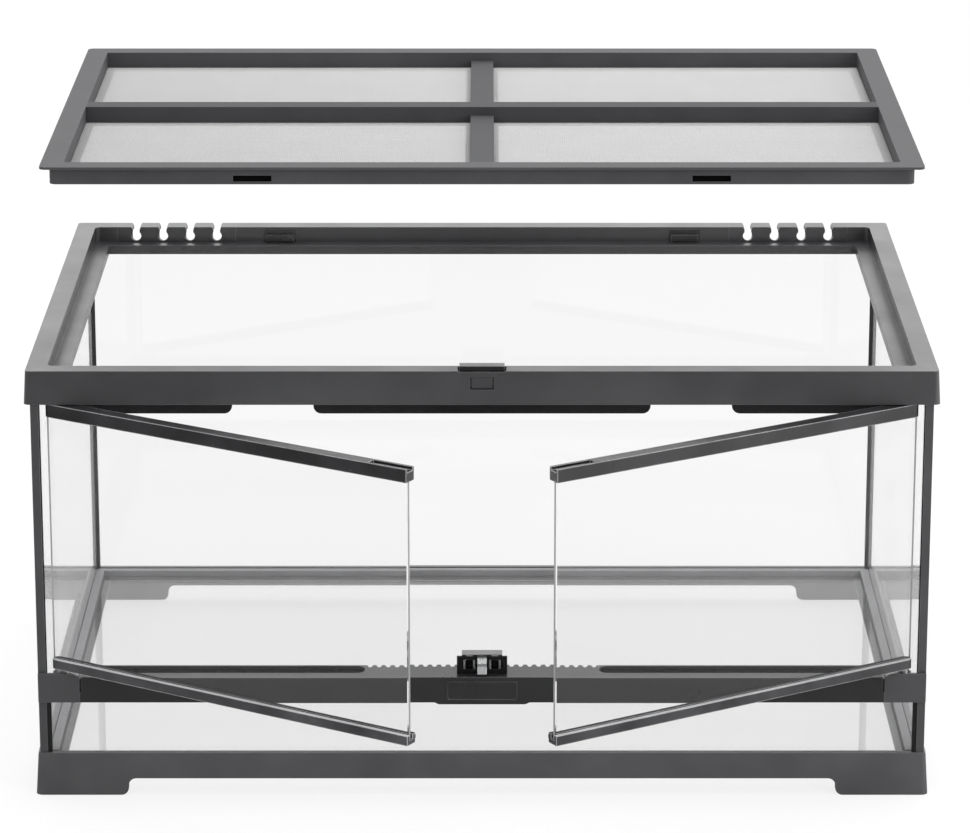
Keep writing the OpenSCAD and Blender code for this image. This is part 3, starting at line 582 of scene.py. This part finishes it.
# Finishes for some faces of a piece, by the end of its name
FACE_FINISHES = [
    ("door_glass", GLASS_EDGE, ground_faces),
    ("floor_glass", GLASS_EDGE, ground_faces),
    ("base_frame", BASE_WELL_REFLECTION, well_faces),
    ("lid_frame", LID_HOLLOW_SHADE, hollow_faces),
    ("lid_latch", LATCH_HEAD, faces_above_rim),
    ("door_bottom_rail", RAIL_LIP_HIGHLIGHT, front_lip),
    ("door_bottom_rail", RAIL_GROOVE_SHADE, behind_front_lip),
]


def finish_node(part):
    """Gives a solid its finish, and some of its faces another one."""
    name = part["node"]
    own = [material for ending, material in OWN_FINISHES.items() if name.endswith(ending)]
    mesh = cad_nodes[name].data
    mesh.materials.clear()
    mesh.materials.append(own[0] if own else FINISHES[part["material_slot"]])
    for polygon in mesh.polygons:
        polygon.material_index = 0
    for ending, material, choose in FACE_FINISHES:
        if name.endswith(ending):
            mesh.materials.append(material)
            for polygon in choose(mesh):
                polygon.material_index = len(mesh.materials) - 1


for part in frame["record"]["subparts"]:
    finish_node(part)


# ---------- screens in the lid ----------

# Drawn at 2 mm between wires, about twice the real spacing, so that it shows
WIRE_PITCH = 2.0 * MM
WIRE_RADIUS = 0.19 * MM


def add_wire(mesh, start, end, across):
    """A straight wire with a four-sided section between two points."""
    side = across * WIRE_RADIUS
    rise = Vector((0, 0, WIRE_RADIUS))
    rings = []
    for point in (start, end):
        rings.append([mesh.verts.new(point + offset) for offset in (side, rise, -side, -rise)])
    for i in range(4):
        j = (i + 1) % 4
        mesh.faces.new((rings[0][i], rings[0][j], rings[1][j], rings[1][i]))
    mesh.faces.new(rings[0])
    mesh.faces.new(rings[1][::-1])


def weave_screen(name, node):
    """Fine wire cloth that fills the place of one of the lid's screens."""
    low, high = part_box(node)
    middle = (low.z + high.z) / 2
    width = high.x - low.x
    depth = high.y - low.y
    columns = int(width / WIRE_PITCH)
    rows = int(depth / WIRE_PITCH)
    mesh = bmesh.new()
    for i in range(columns + 1):
        x = low.x + WIRE_RADIUS + (width - 2 * WIRE_RADIUS) * i / columns
        start = Vector((x, low.y, middle - WIRE_RADIUS))
        add_wire(mesh, start, Vector((x, high.y, start.z)), Vector((1, 0, 0)))
    for i in range(rows + 1):
        y = low.y + WIRE_RADIUS + (depth - 2 * WIRE_RADIUS) * i / rows
        start = Vector((low.x, y, middle + WIRE_RADIUS))
        add_wire(mesh, start, Vector((high.x, y, start.z)), Vector((0, 1, 0)))
    data = bpy.data.meshes.new(name)
    mesh.to_mesh(data)
    mesh.free()
    data.materials.append(FINISHES["steel_screen"])
    screen = bpy.data.objects.new(name, data)
    bpy.context.scene.collection.objects.link(screen)
    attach(screen, "lid")
    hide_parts(node)


for corner in ("front_left", "front_right", "rear_left", "rear_right"):
    weave_screen("wire_cloth_" + corner, "lid_screen_" + corner)


# ---------- studio ----------


def ramp(tree, vector, axis, span, strength):
    """A strength that changes smoothly over a span of one axis of a direction or place."""
    parts = add_node(tree, "ShaderNodeSeparateXYZ", links={"Vector": vector})
    wall = add_node(
        tree,
        "ShaderNodeMapRange",
        {"From Min": span[0], "From Max": span[1], "To Min": strength[0], "To Max": strength[1]},
        {"Value": parts.outputs[axis]},
        interpolation_type="SMOOTHSTEP",
    )
    return wall.outputs["Result"]


def plain_unless_mirrored(tree, walls):
    """Strength 1, but for what is mirrored that of the brightest of some lit walls."""
    mirrored = walls[0]
    for wall in walls[1:]:
        brighter = add_node(
            tree, "ShaderNodeMath", links={0: mirrored, 1: wall}, operation="MAXIMUM"
        )
        mirrored = brighter.outputs["Value"]
    path = add_node(tree, "ShaderNodeLightPath")
    # A ray bent by glass counts as glossy as well, and isn't a mirrored one
    mirror_ray = add_node(
        tree,
        "ShaderNodeMath",
        links={0: path.outputs["Is Glossy Ray"], 1: path.outputs["Is Transmission Ray"]},
        operation="SUBTRACT",
        use_clamp=True,
    )
    strength = add_node(
        tree, "ShaderNodeMix", {"A": 1.0}, {"Factor": mirror_ray.outputs["Value"], "B": mirrored}
    )
    return strength.outputs["Result"]


def make_world():
    """White all round. What the object mirrors is bright behind it and at its sides,
    most at the right, and darker on the camera's side, as between three lit walls."""
    world = bpy.data.worlds.new("white_surround")
    world.use_nodes = True
    tree = world.node_tree
    tree.nodes.clear()
    direction = add_node(tree, "ShaderNodeTexCoord").outputs["Generated"]
    dim = 0.45
    back = ramp(tree, direction, "Y", span=(-0.5, 0.8), strength=(dim, 1.8))
    right = ramp(tree, direction, "X", span=(0.6, 0.9), strength=(dim, 4.2))
    left = ramp(tree, direction, "X", span=(-0.9, -0.6), strength=(1.6, dim))
    background = add_node(
        tree,
        "ShaderNodeBackground",
        {"Color": (1, 1, 1, 1)},
        {"Strength": plain_unless_mirrored(tree, [back, left, right])},
    )
    add_node(
        tree, "ShaderNodeOutputWorld", links={"Surface": background.outputs["Background"]}
    )
    bpy.context.scene.world = world


def sweep_paper():
    """White paper that keeps a faint shadow of the object. What the object mirrors of it
    is dark on the camera's side, apart from the right, because the studio is unlit there."""
    material, tree = new_material("white_sweep_paper")
    place = add_node(tree, "ShaderNodeTexCoord")
    # Uneven pulp, in patches a third of a metre wide
    patch = 333 * MM
    mottle = add_node(
        tree,
        "ShaderNodeTexNoise",
        {"Scale": 1 / patch, "Detail": 2.0},
        {"Vector": place.outputs["Object"]},
    )
    tone = add_node(
        tree,
        "ShaderNodeMapRange",
        {"To Min": 0.86, "To Max": 0.9},
        {"Value": mottle.outputs["Fac"]},
    )
    matt = add_node(tree, "ShaderNodeBsdfDiffuse", links={"Color": tone.outputs["Result"]})
    back = ramp(tree, place.outputs["Object"], "Y", span=(-0.4, 0.5), strength=(0.0, 1.0))
    right = ramp(tree, place.outputs["Object"], "X", span=(0.5, 1.3), strength=(0.0, 1.1))
    glow = add_node(
        tree,
        "ShaderNodeEmission",
        {"Color": (1, 1, 1, 1)},
        {"Strength": plain_unless_mirrored(tree, [back, right])},
    )
    # 1 where the camera sees the floor, also in something glossy or through glass
    path = add_node(tree, "ShaderNodeLightPath")
    seen = path.outputs["Is Camera Ray"]
    for ray in ("Is Glossy Ray", "Is Transmission Ray"):
        either = add_node(
            tree, "ShaderNodeMath", links={0: seen, 1: path.outputs[ray]}, operation="MAXIMUM"
        )
        seen = either.outputs["Value"]
    # The rest of what is seen is the paper itself, which holds the shadow
    glow_share = 0.8
    share = add_node(tree, "ShaderNodeMath", {1: glow_share}, {0: seen}, operation="MULTIPLY")
    both = add_node(
        tree,
        "ShaderNodeMixShader",
        links={0: share.outputs["Value"], 1: matt.outputs["BSDF"], 2: glow.outputs["Emission"]},
    )
    add_node(tree, "ShaderNodeOutputMaterial", links={"Surface": both.outputs["Shader"]})
    return material


def make_floor(reach, drop):
    """A square of paper that the object stands on, a hair below its feet."""
    mesh = bmesh.new()
    corners = [(-reach, -reach), (reach, -reach), (reach, reach), (-reach, reach)]
    mesh.faces.new([mesh.verts.new((x, y, 0)) for x, y in corners])
    data = bpy.data.meshes.new("studio_floor")
    mesh.to_mesh(data)
    mesh.free()
    data.materials.append(sweep_paper())
    floor = bpy.data.objects.new("studio_floor", data)
    floor.location.z = -drop
    bpy.context.scene.collection.objects.link(floor)


def hang_softbox(name, place, aim, size, watts):
    """A square softbox that points at a spot."""
    data = bpy.data.lights.new(name, "AREA")
    data.shape = "SQUARE"
    data.size = size
    data.energy = watts
    lamp = bpy.data.objects.new(name, data)
    lamp.location = place
    lamp.rotation_euler = (Vector(aim) - Vector(place)).to_track_quat("-Z", "Y").to_euler()
    bpy.context.scene.collection.objects.link(lamp)


make_world()
make_floor(reach=8.0, drop=0.2 * MM)
hang_softbox("overhead_softbox", place=(0.3, 0.4, 3.2), aim=(0, 0, 0.3), size=2.2, watts=60)
hang_softbox(
    "front_right_softbox", place=(2.4, -2.4, 1.4), aim=(0.2, 0, 0.3), size=1.2, watts=26
)
